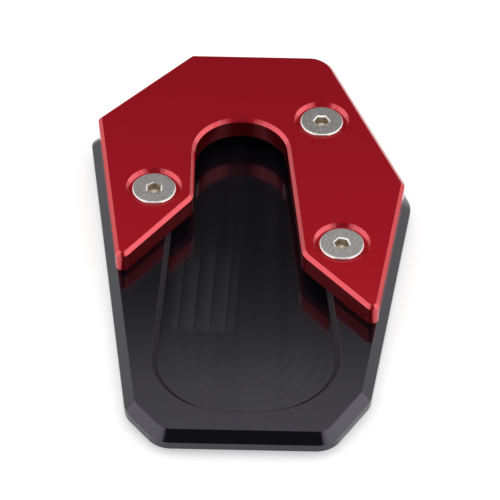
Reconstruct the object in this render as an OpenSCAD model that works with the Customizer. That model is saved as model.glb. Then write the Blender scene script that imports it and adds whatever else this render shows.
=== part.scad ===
// Foot enlarger for a motorbike's kickstand.
// A wide base plate stands on the ground. The stand's foot lies in its pocket,
// and the leg comes up through the slot of the top plate. Three countersunk
// screws clamp the top plate down on the foot.
// Millimetres. +Z is up and the narrow near end points to -Y. Plan sizes are
// measured out from the centre of the near edge, and back from that edge where
// they don't say otherwise.

/* [Base plate outline] */
// Length from the near edge to the back edge
base_l = 117.3; // [108:0.1:135]
// Half the width over the two shoulders
shoulder_x = 36.8; // [34:0.1:45]
// Length of the straight near edge
near_w = 36.4; // [30:0.1:44]
// Left near corner cut, across
left_cut_w = 7.1; // [4:0.1:9]
// Left near corner cut, along
left_cut_l = 8.7; // [4:0.1:14]
// Right near corner cut, across
right_cut_w = 8.5; // [4:0.1:10]
// Right near corner cut, along
right_cut_l = 12.9; // [4:0.1:18]
// Left shoulder, back from the near edge
left_shoulder_y = 92.4; // [85:0.1:100]
// Right shoulder, back from the near edge
right_shoulder_y = 73.1; // [65:0.1:90]
// Left end of the straight back edge
back_left_x = 14.1; // [8:0.1:20]
// Right end of the straight back edge
back_right_x = 18.8; // [10:0.1:24]
// Corner radius at the near end
near_corner_r = 6; // [3:0.5:9]
// Corner radius at the left shoulder
left_shoulder_r = 3; // [3:0.5:6]
// Corner radius at the right shoulder
right_shoulder_r = 7; // [3:0.5:10]
// Corner radius at the two ends of the back edge
back_corner_r = 5; // [3:0.5:8]

/* [Thickness] */
// Thickness of the base plate
base_t = 6; // [5.5:0.1:8]
// Chamfer round the base plate's top and bottom edges
base_chamfer = 2.1; // [1:0.1:2.5]
// Thickness of the top plate
top_t = 6; // [5.5:0.1:8]
// Chamfer round the top plate's upper edge
top_chamfer = 0.8; // [0.3:0.1:1]
// Chamfer round the top plate's lower edge
under_chamfer = 1; // [0.3:0.1:1]

/* [Foot pocket] */
// Depth of the pocket in the base plate
pocket_depth = 3.2; // [2.5:0.1:4]
// Width of the bevel round the pocket
pocket_bevel_w = 1.1; // [0.5:0.1:1.5]
// Depth of that bevel
pocket_bevel_h = 0.9; // [0.4:0.1:1.2]
// Wall left between the near edge and the pocket
pocket_near_y = 7.2; // [5:0.1:12]
// Left edge of the pocket where its round near end begins
pocket_near_left_x = 20.2; // [19:0.1:21]
// Right edge of the pocket where its round near end begins
pocket_near_right_x = 20.6; // [19:0.1:21]
// Where the straight sides of the pocket begin, back from the near edge
pocket_side_y = 24; // [20:0.5:30]
// Left corner radius of the pocket's near end
pocket_near_left_r = 16; // [12:0.5:18]
// Right corner radius of the pocket's near end
pocket_near_right_r = 17.5; // [12:0.5:18]
// Wall left between the back edge and the pocket, under the top plate
pocket_far_in = 18; // [14:0.5:20]
// Left edge of the pocket at its far end
pocket_far_left_x = 16.5; // [14:0.1:18]
// Right edge of the pocket at its far end
pocket_far_right_x = 12.6; // [10:0.1:14]
// Corner radius at the pocket's far end
pocket_far_r = 8; // [4:0.5:10]

/* [Top plate outline] */
// How far the top plate stands in from the base plate's sides
side_step = 1.7; // [1:0.1:2.5]
// How far it stands in from the back and the right back edge
back_step = 2; // [0.5:0.1:2.5]
// How far it stands in from the left back edge
left_back_step = 1.2; // [0.5:0.1:2]
// Corner radius at the top plate's left shoulder
top_left_r = 1.5; // [1.2:0.1:3]
// Corner radius at the top plate's right shoulder
top_right_r = 3; // [1.2:0.1:5]
// Corner radius at the left end of the top plate's back edge
top_back_left_r = 1.2; // [1.2:0.1:4]
// Corner radius at the right end of the top plate's back edge
top_back_right_r = 6; // [2:0.1:8]
// Tip of the left horn, back from the near edge
left_tip_y = 45.1; // [40:0.1:54]
// Tip of the right horn, back from the near edge
right_tip_y = 30.9; // [26:0.1:40]
// Corner radius at the horn tips
tip_r = 1.6; // [1.2:0.1:3]

/* [Leg slot] */
// Left side of the slot
slot_left_x = 12.5; // [10:0.1:13]
// Where the slot's left side meets the left horn's slant
slot_left_y = 66.5; // [62:0.1:72]
// Right side of the slot where it meets the right horn's slant
slot_right_x = 11.9; // [10:0.1:12]
// Where the slot's right side meets the right horn's slant
slot_right_y = 49; // [46:0.1:56]
// Right side of the slot at its round end
slot_end_x = 7.5; // [6:0.1:9]
// Round end of the slot, in from the back edge
slot_end_in = 24.9; // [23:0.1:29]
// Rounding between the slot and the left horn's slant
left_slot_r = 4; // [1:0.5:6]
// Rounding between the slot and the right horn's slant
right_slot_r = 5; // [1:0.5:7]

/* [Screws] */
// Thread diameter
screw_d = 5; // [4:0.5:5]
// Length over the head
screw_l = 10; // [8:0.1:11]
// Head diameter
head_d = 10; // [9:0.1:10.5]
// Straight rim below the head's top face
head_land = 0.6; // [0.6:0.1:0.9]
// Rounding of the head's top edge
head_round = 0.45; // [0.2:0.05:0.55]
// How deep the head lies below the top plate's face
head_sink = 0.25; // [0.1:0.05:0.6]
// Hex socket, across its flats
socket_af = 3; // [2.5:0.1:3.5]
// Depth of the hex socket
socket_depth = 1.9; // [1.2:0.1:2.2]
// Width of the bevel round the socket's mouth
socket_bevel = 0.35; // [0.1:0.05:0.5]
// Slope of that bevel, in degrees
socket_bevel_slope = 30; // [20:5:45]
// Left screw, back from the near edge
left_screw_y = 69.3; // [66:0.1:75]
// Back screw, in from the back edge
back_screw_in = 24.4; // [22:0.1:28]
// Right screw, back from the near edge
right_screw_y = 52.7; // [50:0.1:57]
// How far the left screw is turned, in degrees
left_screw_turn = 30; // [-30:5:30]
// How far the back screw is turned, in degrees
back_screw_turn = 0; // [-30:5:30]
// How far the right screw is turned, in degrees
right_screw_turn = -10; // [-30:5:30]
// Metal between the left screw's thread and the pocket's bevel
left_screw_wall = 0.9; // [0.4:0.1:1.5]
// Metal between the two right screws' threads and the pocket's bevel
right_screw_wall = 0.5; // [0.3:0.1:1.5]

/* [Fits] */
// Gap round the screw's head in its recess
head_gap = 0.5; // [0.3:0.05:0.8]
// Gap between the head's cone and its seat
seat_clearance = 0.05; // [0.02:0.01:0.1]
// Gap round the screw in the top plate
hole_clearance = 0.25; // [0.15:0.05:0.4]
// Gap round the screw in the base plate's thread
thread_clearance = 0.05; // [0.02:0.01:0.1]

/* [Hidden] */

// Degrees of turn covered by one straight piece of a rounded corner
arc_step = 4;
// The same for the rounded edge of a screw's head
rim_step = 15;
// Overshoot of a cutter past the face that it cuts
over = 1;
// The same for the plates' chamfers, where small corner radii leave less room
edge_over = 0.1;
// Screw holes and heads are drawn with this many sides
round_fn = 72;
// Bevel round a screw's lower end
screw_end_bevel = 0.5;
// Half angle at the bottom of a drilled socket
drill_point = 59;

total_t = base_t + top_t;
pocket_floor = base_t - pocket_depth;

// Outline helpers. A corner is [x, y, radius], and an outline lists its
// corners anticlockwise.
function flat(corner) = [corner.x, corner.y];
function unit(v) = v / norm(v);
function left_of(v) = [-v.y, v.x];
function before(list, i) = flat(list[(i + len(list) - 1) % len(list)]);
function after(list, i) = flat(list[(i + 1) % len(list)]);

// Angle from direction a to direction b, between -180 and 180
function turn(a, b) = atan2(cross(a, b), a * b);

// Points of the arc that rounds corner i
function corner_arc(list, i) =
    let (
        at = flat(list[i]),
        r = list[i][2],
        ahead = unit(after(list, i) - at),
        behind = unit(at - before(list, i)),
        swing = turn(behind, ahead),
        side = sign(swing),
        start = at - behind * r * tan(abs(swing) / 2),
        middle = start + left_of(behind) * r * side,
        steps = max(1, ceil(abs(swing) / arc_step))
    )
    [for (k = [0 : steps])
        let (a = swing * k / steps)
        middle - side * r * (left_of(behind) * cos(a) - behind * sin(a))];

function rounded(list) = [for (i = [0 : len(list) - 1]) each corner_arc(list, i)];

// The outline with edge i, from corner i to the next, moved inwards by steps[i]
function stepped(list, steps) =
    [for (i = [0 : len(list) - 1])
        let (
            at = flat(list[i]),
            behind = unit(at - before(list, i)),
            ahead = unit(after(list, i) - at),
            d1 = steps[(i + len(list) - 1) % len(list)],
            d2 = steps[i],
            p = at + (d1 * ahead - d2 * behind) / cross(behind, ahead)
        )
        p];

// The whole outline moved inwards by d, with its corner radii
function inset(list, d) =
    let (moved = stepped(list, [for (c = list) d]))
    [for (i = [0 : len(list) - 1])
        let (
            at = flat(list[i]),
            outer = sign(turn(at - before(list, i), after(list, i) - at))
        )
        [moved[i].x, moved[i].y, list[i][2] - outer * d]];

// The largest radius that rounds corners i and i + 1 into one end
function full_round(list, i) =
    let (
        a = flat(list[i]),
        b = after(list, i),
        c = after(list, i + 1),
        first = turn(a - before(list, i), b - a),
        second = turn(b - a, c - b)
    )
    norm(b - a) / (tan(abs(first) / 2) + tan(abs(second) / 2));

// x of the line through p and q at the given y
function x_at(p, q, y) = p.x + (q.x - p.x) * (y - p.y) / (q.y - p.y);

// Loops of equal length, each given as [outline points, z], make up a surface
function loop_points(loops) = [for (loop = loops) for (p = loop[0]) [p.x, p.y, loop[1]]];

// The band of faces between loop a and loop b, with n points in each
function band(n, a, b) =
    [for (i = [0 : n - 1])
        let (j = (i + 1) % n)
        [a * n + j, a * n + i, b * n + i, b * n + j]];

// Closed solid through loops that are convex outlines, the lowest one first
module loft(loops) {
    n = len(loops[0][0]);
    last = len(loops) - 1;
    bottom = [for (i = [0 : n - 1]) i];
    walls = [for (k = [0 : last - 1]) each band(n, k, k + 1)];
    top = [for (i = [n - 1 : -1 : 0]) last * n + i];
    polyhedron(loop_points(loops), concat([bottom], walls, [top]));
}

// Closed ring through three loops, which goes up on its outer side
module ring(loops) {
    n = len(loops[0][0]);
    polyhedron(loop_points(loops), concat(band(n, 0, 1), band(n, 1, 2), band(n, 2, 0)));
}

// Base plate outline
base_corners = [
    [-near_w / 2, 0, near_corner_r],
    [near_w / 2, 0, near_corner_r],
    [near_w / 2 + right_cut_w, right_cut_l, near_corner_r],
    [shoulder_x, right_shoulder_y, right_shoulder_r],
    [back_right_x, base_l, back_corner_r],
    [-back_left_x, base_l, back_corner_r],
    [-shoulder_x, left_shoulder_y, left_shoulder_r],
    [-near_w / 2 - left_cut_w, left_cut_l, near_corner_r]
];

// The part stands centred on the base plate's box
base_points = rounded(base_corners);
xs = [for (p = base_points) p.x];
ys = [for (p = base_points) p.y];
middle_x = (min(xs) + max(xs)) / 2;
middle_y = (min(ys) + max(ys)) / 2;

// Foot pocket outline at the base plate's top face
pocket_far_y = base_l - pocket_far_in;
pocket_left_near = [-pocket_near_left_x, pocket_side_y];
pocket_left_far = [-pocket_far_left_x, pocket_far_y];
pocket_right_near = [pocket_near_right_x, pocket_side_y];
pocket_right_far = [pocket_far_right_x, pocket_far_y];
function pocket_left(y) = x_at(pocket_left_near, pocket_left_far, y);
function pocket_right(y) = x_at(pocket_right_near, pocket_right_far, y);
pocket_corners = [
    [pocket_left(pocket_near_y), pocket_near_y, pocket_near_left_r],
    [pocket_right(pocket_near_y), pocket_near_y, pocket_near_right_r],
    [pocket_far_right_x, pocket_far_y, pocket_far_r],
    [-pocket_far_left_x, pocket_far_y, pocket_far_r]
];

// Top plate outline: it follows the base plate outside and the leg slot inside
top_steps = [side_step, side_step, side_step, back_step,
    back_step, left_back_step, side_step, side_step];
top_outer = stepped(base_corners, top_steps);
function top_left(y) = x_at(top_outer[7], top_outer[6], y);
function top_right(y) = x_at(top_outer[2], top_outer[3], y);
slot_end_y = base_l - slot_end_in;
slot_sharp = [
    [-slot_left_x, slot_left_y, left_slot_r],
    [-slot_left_x, slot_end_y, 0],
    [slot_end_x, slot_end_y, 0],
    [slot_right_x, slot_right_y, right_slot_r]
];
slot_end_r = full_round(slot_sharp, 1);
top_corners = [
    [top_outer[4].x, top_outer[4].y, top_back_right_r],
    [top_outer[5].x, top_outer[5].y, top_back_left_r],
    [top_outer[6].x, top_outer[6].y, top_left_r],
    [top_left(left_tip_y), left_tip_y, tip_r],
    slot_sharp[0],
    [slot_sharp[1].x, slot_sharp[1].y, slot_end_r],
    [slot_sharp[2].x, slot_sharp[2].y, slot_end_r],
    slot_sharp[3],
    [top_right(right_tip_y), right_tip_y, tip_r],
    [top_outer[3].x, top_outer[3].y, top_right_r]
];

// Each screw stands beside the pocket, with a wall of metal between them
back_screw_y = base_l - back_screw_in;
left_screw_x = pocket_left(left_screw_y) - screw_d / 2 - left_screw_wall;
back_screw_x = pocket_right(back_screw_y) + screw_d / 2 + right_screw_wall;
right_screw_x = pocket_right(right_screw_y) + screw_d / 2 + right_screw_wall;
// Places as [x, y, turn]
screw_places = [
    [left_screw_x, left_screw_y, left_screw_turn],
    [back_screw_x, back_screw_y, back_screw_turn],
    [right_screw_x, right_screw_y, right_screw_turn]
];
head_top = total_t - head_sink;
cone_h = (head_d - screw_d) / 2;
recess_r = head_d / 2 + head_gap;
recess_depth = head_sink + head_land;
recess_chamfer = min(top_chamfer, recess_depth);

module at_each_screw(z) {
    for (p = screw_places)
        translate([p.x, p.y, z])
            rotate([0, 0, p[2]])
                children();
}

// Cutter for a 45 degree chamfer round a face at z = 0, with the plate below it
module edge_cut(corners, chamfer) {
    outside = rounded(inset(corners, -edge_over));
    inside = rounded(inset(corners, chamfer + edge_over));
    ring([
        [outside, -chamfer - edge_over],
        [outside, edge_over],
        [inside, edge_over]
    ]);
}

// Flat plate with the given corners and a chamfer round each of its two faces
module chamfered_plate(corners, thickness, upper, lower) {
    difference() {
        linear_extrude(height = thickness)
            polygon(rounded(corners));
        translate([0, 0, thickness])
            edge_cut(corners, upper);
        mirror([0, 0, 1])
            edge_cut(corners, lower);
    }
}

// Upright walls with a bevel round the mouth, which the cutter carries on above
module pocket_cut() {
    walls = rounded(inset(pocket_corners, pocket_bevel_w));
    mouth = rounded(inset(pocket_corners, -over * pocket_bevel_w / pocket_bevel_h));
    loft([
        [walls, pocket_floor],
        [walls, base_t - pocket_bevel_h],
        [mouth, base_t + over]
    ]);
}

module base_plate() {
    color([0.13, 0.13, 0.14])
    translate([-middle_x, -middle_y, 0])
    difference() {
        chamfered_plate(base_corners, base_t, base_chamfer, base_chamfer);
        pocket_cut();
        at_each_screw(-over)
            cylinder(h = base_t + 2 * over, r = screw_d / 2 + thread_clearance, $fn = round_fn);
    }
}

// Chamfered recess, cone seat and through hole for one screw, from z = 0 down
module screw_seat() {
    seat_r = head_d / 2 + seat_clearance;
    hole_r = screw_d / 2 + hole_clearance;
    rim_r = recess_r + recess_chamfer;
    rotate_extrude($fn = round_fn)
        polygon([
            [0, over],
            [rim_r + over, over],
            [recess_r, -recess_chamfer],
            [recess_r, -recess_depth],
            [seat_r, -recess_depth],
            [hole_r, -recess_depth - seat_r + hole_r],
            [hole_r, -top_t - over],
            [0, -top_t - over]
        ]);
}

module top_plate() {
    color([0.57, 0.08, 0.11])
    translate([-middle_x, -middle_y, 0])
    difference() {
        translate([0, 0, base_t])
            chamfered_plate(top_corners, top_t, top_chamfer, under_chamfer);
        at_each_screw(total_t)
            screw_seat();
    }
}

// One countersunk screw, with the top of its head at z = 0
module screw() {
    head_r = head_d / 2;
    socket_r = socket_af / 2 / cos(30);
    drill_r = 0.45 * socket_af;
    drill_h = drill_r / tan(drill_point);
    mouth_h = socket_bevel * tan(socket_bevel_slope);
    difference() {
        rotate_extrude($fn = round_fn)
            polygon([
                [0, 0],
                for (a = [90 : -rim_step : 0])
                    [head_r - head_round * (1 - cos(a)), -head_round * (1 - sin(a))],
                [head_r, -head_land],
                [screw_d / 2, -head_land - cone_h],
                [screw_d / 2, screw_end_bevel - screw_l],
                [screw_d / 2 - screw_end_bevel, -screw_l],
                [0, -screw_l]
            ]);
        translate([0, 0, -socket_depth])
            cylinder(h = socket_depth + over, r = socket_r, $fn = 6);
        // The mouth's bevel is a six-sided cone through the socket's edge
        translate([0, 0, -2 * mouth_h])
            cylinder(
                h = 3 * mouth_h,
                r1 = socket_r - socket_bevel,
                r2 = socket_r + 2 * socket_bevel,
                $fn = 6
            );
        translate([0, 0, -socket_depth - drill_h])
            cylinder(h = drill_h, r1 = 0, r2 = drill_r, $fn = round_fn);
    }
}

module screws() {
    color([0.72, 0.72, 0.74])
    translate([-middle_x, -middle_y, 0])
        at_each_screw(head_top)
            screw();
}

base_plate();
top_plate();
screws();
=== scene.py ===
"""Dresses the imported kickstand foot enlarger: finishes, floor, lamps and camera.

Lengths are metres in the row frame: +Z up, the narrow near end points to -Y.
"""
import math

import bmesh
import bpy
from mathutils import Matrix, Vector


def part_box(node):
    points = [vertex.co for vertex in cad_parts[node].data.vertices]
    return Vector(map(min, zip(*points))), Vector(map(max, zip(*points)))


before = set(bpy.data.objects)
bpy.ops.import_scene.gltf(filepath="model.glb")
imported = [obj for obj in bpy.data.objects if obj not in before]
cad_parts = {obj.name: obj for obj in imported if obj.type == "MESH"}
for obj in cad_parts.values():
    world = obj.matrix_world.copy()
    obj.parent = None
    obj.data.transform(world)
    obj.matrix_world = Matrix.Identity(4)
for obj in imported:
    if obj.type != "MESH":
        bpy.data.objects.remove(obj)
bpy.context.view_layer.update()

MM = 0.001

# Heights of the plates' meeting face, the top face, the pocket floor and the screw heads
PLATE_JOINT_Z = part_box("top_plate")[0][2]
FACE_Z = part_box("top_plate")[1][2]
POCKET_DEPTH = 3.2 * MM
POCKET_FLOOR_Z = PLATE_JOINT_Z - POCKET_DEPTH
HEAD_SINK = 0.25 * MM
HEAD_TOP_Z = FACE_Z - HEAD_SINK

# Bevel round the pocket's mouth, and lines that part it from the plate's outer chamfer
BEVEL_DEPTH = 0.9 * MM
RIM_NEAR_Y = -52.2 * MM
RIM_SIDE_Y = -44 * MM
RIM_NEAR_X = 17 * MM
RIM_SIDE_X = 21.8 * MM
# Where the painted highlight starts on the bevel's near end, which is coloured pale grey
PAINTED_HIGHLIGHT_RIM_Y = -49.6 * MM
PAINTED_HIGHLIGHT_RIM_FADE = 1 * MM

# Milling passes on the left of the pocket floor, each a strip that brightens up to a groove
PASS_WIDTH = 3.45 * MM
PASS_SLANT = 0.045
FIRST_PASS_X = -17 * MM
LAST_PASS_X = FIRST_PASS_X + 4.4 * PASS_WIDTH
LAST_PASS_FADE = 0.3 * MM
PASSES_NEAR_Y = -24.5 * MM
PASSES_NEAR_FADE = 1.2 * MM
PASSES_FADE_Y = -11.5 * MM
PASSES_FAR_Y = 6.6 * MM
PASS_START_LEVEL = 0.3
GROOVE_START = 0.86
GROOVE_FULL = 0.92

# Faint arcs left by the cutter round the pocket's near end
ARC_CENTRE = (0, -30.6 * MM, 0)
ARC_PITCH = 2.6 * MM
ARCS_FULL_Y = PASSES_NEAR_Y - 12 * MM
ARCS_END_Y = PASSES_NEAR_Y - 2 * MM
ARC_STRENGTH = 0.4
ARC_BREAKS_SCALE = 160
BAND_STRENGTH = 0.2
# A wave texture of scale 1 repeats after this length
WAVE_LENGTH = 0.314

# Black plate: bare floor and brightest mark, the bevel's colour and the painted highlight on its
# near end, and tints of the gloss
BLACK = (0.0035, 0.0032, 0.0052)
BRIGHT_MARK = (0.0165, 0.016, 0.019)
BEVEL_BLACK = (0.008, 0.007, 0.009, 1)
NEAR_BEVEL_PAINTED_HIGHLIGHT = (0.05, 0.047, 0.052, 1)
GLOSS_TINT = (1, 0.95, 1.1)
BEVEL_GLOSS_TINT = (0.3, 0.28, 0.33)
GLOSSY = 0.12
BEVEL_ROUGHNESS = 0.5

# Screws: the two ends of the speckle, the painted highlight on the polished edges, and the
# socket
DARK_SPECKLE = (0.43, 0.41, 0.4)
LIGHT_SPECKLE = (0.66, 0.635, 0.62)
PAINTED_EDGE_HIGHLIGHT = (0.88, 0.86, 0.84, 1)
WARM_SOCKET = (0.6, 0.53, 0.43, 1)
SOCKET_ROUGHNESS = 0.46
EDGE_ROUGHNESS = 0.22

# Grain of the surfaces, as cycles in a metre
BLACK_GRAIN = 4000
RED_GRAIN = 3500
STEEL_GRAIN = 2600

# Camera fitted to the photograph's edges
CAMERA_PLACE = Vector((0.436 * MM, -453.25 * MM, 447.6 * MM))
CAMERA_TARGET = Vector((0.436 * MM, -7.95 * MM, 11.0 * MM))
CAMERA_ROLL = math.radians(1.17)
CAMERA_ANGLE = math.radians(10.06)
NEAR_CLIP = 0.01

# Studio
FLOOR_SIZE = (6, 6)
FLOOR_LIFT = 0.38
AMBIENT = 0.7
CARD_DISTANCE = 1.5
LAMP_DISTANCE = 1.4
OVERHEAD_PLACE = (0, 0.1, 1.3)
OVERHEAD_SIZE = (1.2, 1.2)
SIDE_LAMP_SIZE = (2.4, 0.6)
FRONT_LAMP_SIZE = (0.66, 0.3)

# Elevation and brightness up the card behind the part, which the flats mirror
BACK_CARD_STOPS = (
    (4, 0.03),
    (46.2, 0.03),
    (46.9, 0.06),
    (47.3, 0.25),
    (47.7, 0.65),
    (48.2, 1),
    (49, 1.1),
    (54, 1.1),
)


class Finish:
    """A material with its Principled shader, and short ways to add nodes to it."""

    def __init__(self, name):
        self.material = bpy.data.materials.new(name)
        self.material.use_nodes = True
        self.tree = self.material.node_tree
        self.shader = self.tree.nodes["Principled BSDF"]
        self.place = self.add("ShaderNodeTexCoord").outputs["Object"]

    def add(self, kind, **settings):
        node = self.tree.nodes.new(kind)
        for name, value in settings.items():
            setattr(node, name, value)
        return node

    def link(self, output, target):
        self.tree.links.new(output, target)

    def link_to_shader(self, output, socket):
        self.link(output, self.shader.inputs[socket])

    def set(self, **values):
        """Sets the shader's own sockets, such as base_color."""
        for name, value in values.items():
            socket = name.replace("_", " ").title().replace("Ior", "IOR")
            self.shader.inputs[socket].default_value = value

    def stretched(self, scale, centre=(0, 0, 0)):
        """Object coordinates about a centre, scaled on each axis."""
        node = self.add("ShaderNodeMapping", vector_type="TEXTURE")
        node.inputs["Location"].default_value = centre
        node.inputs["Scale"].default_value = tuple(1 / s for s in scale)
        self.link(self.place, node.inputs["Vector"])
        return node.outputs["Vector"]

    def noise(self, vector, scale=1.0, detail=2.0):
        node = self.add("ShaderNodeTexNoise")
        node.inputs["Scale"].default_value = scale
        node.inputs["Detail"].default_value = detail
        self.link(vector, node.inputs["Vector"])
        return node.outputs["Fac"]

    def grain(self, scale, detail):
        """Fine noise that is alike in all directions."""
        return self.noise(self.stretched((scale, scale, scale)), detail=detail)

    def between(self, value, low, high, out_low=0.0, out_high=1.0, straight=False):
        """Maps low..high onto out_low..out_high, smoothly unless straight."""
        node = self.add("ShaderNodeMapRange")
        node.interpolation_type = "LINEAR" if straight else "SMOOTHSTEP"
        self.link(value, node.inputs["Value"])
        sockets = ("From Min", "From Max", "To Min", "To Max")
        for socket, number in zip(sockets, (low, high, out_low, out_high)):
            node.inputs[socket].default_value = number
        return node.outputs["Result"]

    def math(self, operation, first, second):
        node = self.add("ShaderNodeMath", operation=operation)
        for socket, value in zip(node.inputs, (first, second)):
            if isinstance(value, (int, float)):
                socket.default_value = value
            else:
                self.link(value, socket)
        return node.outputs["Value"]

    def both(self, first, second):
        """The product of two masks or numbers."""
        return self.math("MULTIPLY", first, second)

    def axes(self):
        node = self.add("ShaderNodeSeparateXYZ")
        self.link(self.place, node.inputs["Vector"])
        return node.outputs

    def colours(self, value, stops):
        """A colour ramp through (position, colour) stops."""
        node = self.add("ShaderNodeValToRGB")
        ramp = node.color_ramp
        while len(ramp.elements) < len(stops):
            ramp.elements.new(0.5)
        for element, (position, colour) in zip(ramp.elements, stops):
            element.position = position
            element.color = (*colour, 1)
        self.link(value, node.inputs["Fac"])
        return node.outputs["Color"]

    def mixed(self, share, colour, other):
        """A colour that turns into the other, fixed one where share is 1."""
        node = self.add("ShaderNodeMix", data_type="RGBA")
        sockets = {socket.identifier: socket for socket in node.inputs}
        self.link(share, sockets["Factor_Float"])
        self.link(colour, sockets["A_Color"])
        sockets["B_Color"].default_value = other
        return [socket for socket in node.outputs if socket.identifier == "Result_Color"][0]

    def bump(self, height, strength, distance):
        node = self.add("ShaderNodeBump")
        node.inputs["Strength"].default_value = strength
        node.inputs["Distance"].default_value = distance
        self.link(height, node.inputs["Height"])
        self.link_to_shader(node.outputs["Normal"], "Normal")


def cutter_passes(finish, x, y):
    """Milling passes on the pocket floor's left side, from 0 in a groove to 1 beside it."""
    across = finish.math("SUBTRACT", x, finish.both(y, PASS_SLANT))
    from_first = finish.math("DIVIDE", finish.math("SUBTRACT", across, FIRST_PASS_X), PASS_WIDTH)
    saw = finish.math("FRACT", from_first, 0)
    shaded = finish.both(
        finish.between(saw, 0, GROOVE_START, PASS_START_LEVEL, 1, straight=True),
        finish.between(saw, GROOVE_START, GROOVE_FULL, 1, 0),
    )
    sideways = finish.both(
        finish.between(across, FIRST_PASS_X, FIRST_PASS_X + PASS_WIDTH),
        finish.between(across, LAST_PASS_X, LAST_PASS_X + LAST_PASS_FADE, 1, 0),
    )
    along = finish.both(
        finish.between(y, PASSES_NEAR_Y - PASSES_NEAR_FADE, PASSES_NEAR_Y),
        finish.between(y, PASSES_FADE_Y, PASSES_FAR_Y, 1, 0),
    )
    return finish.both(shaded, finish.both(sideways, along))


def cutter_arcs(finish, y):
    """Broken faint arcs round the pocket's near end, from 0 to 1."""
    vector = finish.stretched((1, 1, 1), centre=ARC_CENTRE)
    arcs = finish.add("ShaderNodeTexWave", wave_type="RINGS", rings_direction="Z")
    arcs.inputs["Scale"].default_value = WAVE_LENGTH / ARC_PITCH
    arcs.inputs["Distortion"].default_value = 1.5
    arcs.inputs["Detail"].default_value = 1.0
    finish.link(vector, arcs.inputs["Vector"])
    near_end = finish.between(y, ARCS_FULL_Y, ARCS_END_Y, 1, 0)
    broken = finish.between(finish.noise(vector, ARC_BREAKS_SCALE, 1.0), 0.42, 0.62)
    return finish.both(arcs.outputs["Fac"], finish.both(near_end, broken))


def pocket_bevel(finish, x, y, z):
    """1 on the bevel round the pocket's mouth, else 0."""
    from_middle = finish.math("ABSOLUTE", x, 0)
    limit = finish.between(y, RIM_NEAR_Y, RIM_SIDE_Y, RIM_NEAR_X, RIM_SIDE_X, straight=True)
    inside = finish.both(
        finish.math("LESS_THAN", from_middle, limit),
        finish.math("GREATER_THAN", y, RIM_NEAR_Y),
    )
    low = PLATE_JOINT_Z - BEVEL_DEPTH
    above = finish.between(z, low - 0.04 * MM, low + 0.02 * MM)
    below = finish.between(z, PLATE_JOINT_Z - 0.06 * MM, PLATE_JOINT_Z - 0.02 * MM, 1, 0)
    return finish.both(inside, finish.both(above, below))


def black_anodised():
    """Glossy black, with milling marks on the pocket floor, a duller bevel round it, and a
    painted highlight in pale grey on the bevel's near end.
    """
    finish = Finish("black anodised plate")
    finish.set(ior=1.55)
    x, y, z = finish.axes()
    on_floor = finish.between(z, POCKET_FLOOR_Z + 0.1 * MM, POCKET_FLOOR_Z + 0.4 * MM, 1, 0)
    passes = cutter_passes(finish, x, y)
    bands = finish.noise(finish.stretched((300, 8, 1)), detail=1.0)
    faint_bands = finish.both(finish.between(bands, 0.35, 0.65), BAND_STRENGTH)
    faint_arcs = finish.both(cutter_arcs(finish, y), ARC_STRENGTH)
    marks = finish.math("ADD", passes, finish.math("ADD", faint_arcs, faint_bands))
    colour = finish.colours(finish.both(marks, on_floor), ((0.0, BLACK), (1.0, BRIGHT_MARK)))

    bevel = pocket_bevel(finish, x, y, z)
    # Painted highlight: the near end of the bevel is coloured pale grey
    near_end = finish.between(y, PAINTED_HIGHLIGHT_RIM_Y - PAINTED_HIGHLIGHT_RIM_FADE, PAINTED_HIGHLIGHT_RIM_Y + PAINTED_HIGHLIGHT_RIM_FADE, 1, 0)
    colour = finish.mixed(bevel, colour, BEVEL_BLACK)
    colour = finish.mixed(finish.both(bevel, near_end), colour, NEAR_BEVEL_PAINTED_HIGHLIGHT)
    finish.link_to_shader(colour, "Base Color")

    roughness = finish.between(bevel, 0, 1, GLOSSY, BEVEL_ROUGHNESS, straight=True)
    finish.link_to_shader(roughness, "Roughness")
    gloss = finish.colours(bevel, ((0.0, GLOSS_TINT), (1.0, BEVEL_GLOSS_TINT)))
    finish.link_to_shader(gloss, "Specular Tint")
    finish.bump(finish.grain(BLACK_GRAIN, 2.0), strength=0.05, distance=0.01 * MM)
    return finish.material


def red_anodised():
    """Clear red over brushed aluminium, with a smooth hard surface."""
    finish = Finish("red anodised plate")
    finish.set(
        base_color=(0.56, 0.013, 0.027, 1),
        metallic=1.0,
        roughness=0.4,
        specular_tint=(0.6, 0.12, 0.15, 1),
        coat_weight=1.0,
        coat_roughness=0.07,
        coat_ior=1.58,
    )
    finish.bump(finish.grain(RED_GRAIN, 2.0), strength=0.06, distance=0.01 * MM)
    return finish.material


def screw_steel():
    """Bare blasted steel with fine speckle, polished edges carrying a painted highlight in
    near-white, and a warmer, rougher socket.
    """
    finish = Finish("blasted steel screw")
    finish.set(metallic=1.0)
    z = finish.axes()["Z"]
    speckle = finish.grain(STEEL_GRAIN, 4.0)
    steel = finish.colours(speckle, ((0.35, DARK_SPECKLE), (0.65, LIGHT_SPECKLE)))
    socket_low = HEAD_TOP_Z - 0.45 * MM
    socket_high = HEAD_TOP_Z - 0.3 * MM
    # The head's edges, which get a painted highlight in their colour and a smoother finish
    edges = finish.both(
        finish.between(z, HEAD_TOP_Z - 0.04 * MM, HEAD_TOP_Z - 0.01 * MM, 1, 0),
        finish.between(z, socket_low, socket_high),
    )
    deep = finish.between(z, socket_low, socket_high, 1, 0)
    # Painted highlight: the head's polished edges are coloured near-white
    colour = finish.mixed(edges, steel, PAINTED_EDGE_HIGHLIGHT)
    colour = finish.mixed(deep, colour, WARM_SOCKET)
    finish.link_to_shader(colour, "Base Color")
    polish = finish.math("SUBTRACT", edges, deep)
    roughness = finish.between(polish, -1, 1, SOCKET_ROUGHNESS, EDGE_ROUGHNESS, straight=True)
    finish.link_to_shader(roughness, "Roughness")
    finish.bump(speckle, strength=0.25, distance=0.02 * MM)
    return finish.material


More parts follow.
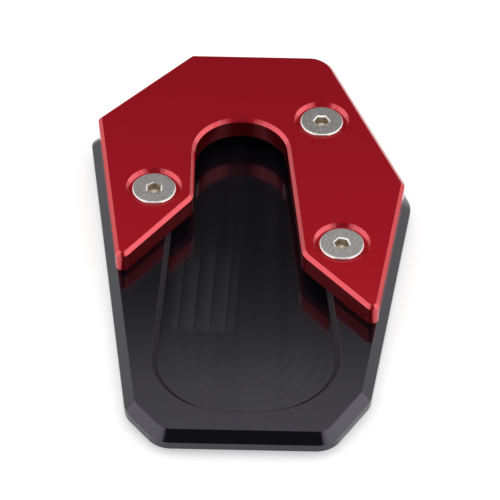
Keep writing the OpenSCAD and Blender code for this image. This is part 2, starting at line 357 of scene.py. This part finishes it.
def dress_nodes():
    finishes = {
        "base_plate": black_anodised(),
        "top_plate": red_anodised(),
        "screws": screw_steel(),
    }
    for node, material in finishes.items():
        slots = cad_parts[node].data.materials
        for i in range(len(slots)):
            slots[i] = material


def seen_straight(tree):
    """1 for camera, glossy and transmission rays, else 0."""
    rays = tree.nodes.new("ShaderNodeLightPath").outputs
    total = rays["Is Camera Ray"]
    for name in ("Is Glossy Ray", "Is Transmission Ray"):
        node = tree.nodes.new("ShaderNodeMath")
        node.operation = "MAXIMUM"
        tree.links.new(total, node.inputs[0])
        tree.links.new(rays[name], node.inputs[1])
        total = node.outputs["Value"]
    return total


def white_world():
    """White where it is seen or mirrored, and a plain level of light elsewhere."""
    world = bpy.data.worlds.new("white studio")
    bpy.context.scene.world = world
    world.use_nodes = True
    tree = world.node_tree
    background = tree.nodes["Background"]
    background.inputs["Color"].default_value = (1, 1, 1, 1)
    level = tree.nodes.new("ShaderNodeMapRange")
    level.inputs["To Min"].default_value = AMBIENT
    level.inputs["To Max"].default_value = 1.0
    tree.links.new(seen_straight(tree), level.inputs["Value"])
    tree.links.new(level.outputs["Result"], background.inputs["Strength"])


def add_plane(name, size, material):
    shape = bmesh.new()
    bmesh.ops.create_grid(shape, x_segments=1, y_segments=1, size=0.5)
    bmesh.ops.scale(shape, vec=(size[0], size[1], 1), verts=shape.verts)
    mesh = bpy.data.meshes.new(name)
    shape.to_mesh(mesh)
    shape.free()
    mesh.materials.append(material)
    plane = bpy.data.objects.new(name, mesh)
    bpy.context.scene.collection.objects.link(plane)
    return plane


def white_floor():
    """Pale floor that keeps the part's shadow and shows as white elsewhere."""
    finish = Finish("white floor")
    finish.set(
        base_color=(0.8, 0.8, 0.8, 1),
        roughness=1.0,
        specular_ior_level=0.0,
        emission_color=(1, 1, 1, 1),
    )
    lift = finish.both(seen_straight(finish.tree), FLOOR_LIFT)
    finish.link_to_shader(lift, "Emission Strength")
    add_plane("floor", FLOOR_SIZE, finish.material)


def turned_towards(place, target):
    direction = (Vector(target) - Vector(place)).normalized()
    return Matrix.Translation(place) @ direction.to_track_quat("-Z", "Y").to_matrix().to_4x4()


def studio_place(azimuth, elevation, distance):
    """Place round the part, in degrees. Azimuth 0 is +Y and 90 is +X."""
    azimuth, elevation = math.radians(azimuth), math.radians(elevation)
    level_reach = distance * math.cos(elevation)
    return Vector((
        level_reach * math.sin(azimuth),
        level_reach * math.cos(azimuth),
        distance * math.sin(elevation),
    ))


def add_card(name, azimuth, low, high, half_width, brightness):
    """A studio card that only mirrors see, between two elevations in degrees."""
    middle = (low + high) / 2
    height = 2 * CARD_DISTANCE * math.tan(math.radians(high - low) / 2)
    width = 2 * CARD_DISTANCE * math.tan(math.radians(half_width))
    finish = Finish(name)
    finish.set(
        base_color=(0, 0, 0, 1),
        specular_ior_level=0.0,
        emission_color=(brightness, brightness, brightness, 1),
        emission_strength=1.0,
    )
    card = add_plane(name, (width, height), finish.material)
    card.matrix_world = turned_towards(studio_place(azimuth, middle, CARD_DISTANCE), (0, 0, 0))
    card.visible_camera = False
    card.visible_diffuse = False
    card.visible_shadow = False
    return finish


def shade_card(finish, stops):
    """Brightness up a card, through (elevation, brightness) stops from edge to edge."""
    low, high = stops[0][0], stops[-1][0]
    middle = (low + high) / 2
    reach = math.tan(math.radians(high - low) / 2)
    half_height = CARD_DISTANCE * reach
    ramp_stops = []
    for elevation, level in stops:
        position = 0.5 + math.tan(math.radians(elevation - middle)) / reach / 2
        ramp_stops.append((position, (level, level, level)))
    up = finish.between(finish.axes()["Y"], -half_height, half_height, straight=True)
    finish.link_to_shader(finish.colours(up, ramp_stops), "Emission Color")


def softbox(name, place, size, brightness):
    """A soft lamp whose face has the given brightness, where 1 is white."""
    light = bpy.data.lights.new(name, "AREA")
    light.shape = "RECTANGLE"
    light.size, light.size_y = size
    light.energy = brightness * math.pi * size[0] * size[1]
    lamp = bpy.data.objects.new(name, light)
    lamp.matrix_world = turned_towards(place, (0, 0, 0))
    lamp.visible_camera = False
    bpy.context.scene.collection.objects.link(lamp)


def light_studio():
    white_world()
    white_floor()
    behind = add_card("dark wall behind", 0, low=4, high=54, half_width=20, brightness=0.03)
    shade_card(behind, BACK_CARD_STOPS)
    add_card("dark side of the camera", 180, low=5, high=66, half_width=30, brightness=0.05)
    add_card("dark side on the left", -100, low=47, high=62, half_width=38, brightness=0.06)
    add_card("dark side on the right", 100, low=47, high=62, half_width=38, brightness=0.06)
    softbox("overhead softbox", OVERHEAD_PLACE, OVERHEAD_SIZE, brightness=0.6)
    sides = (
        ("left softbox", -102, 26, SIDE_LAMP_SIZE, 0.95),
        ("right softbox", 102, 26, SIDE_LAMP_SIZE, 1.2),
        ("left front softbox", -133, 41, FRONT_LAMP_SIZE, 1.0),
        ("right front softbox", 133, 41, FRONT_LAMP_SIZE, 1.0),
    )
    for name, azimuth, elevation, size, brightness in sides:
        softbox(name, studio_place(azimuth, elevation, LAMP_DISTANCE), size, brightness)


def add_camera():
    data = bpy.data.cameras.new("photo camera")
    data.sensor_fit = "HORIZONTAL"
    data.angle = CAMERA_ANGLE
    data.clip_start = NEAR_CLIP
    camera = bpy.data.objects.new("photo camera", data)
    roll = Matrix.Rotation(CAMERA_ROLL, 4, "Z")
    camera.matrix_world = turned_towards(CAMERA_PLACE, CAMERA_TARGET) @ roll
    bpy.context.scene.collection.objects.link(camera)
    bpy.context.scene.camera = camera


dress_nodes()
light_studio()
add_camera()
bpy.context.scene.view_settings.view_transform = "Standard"
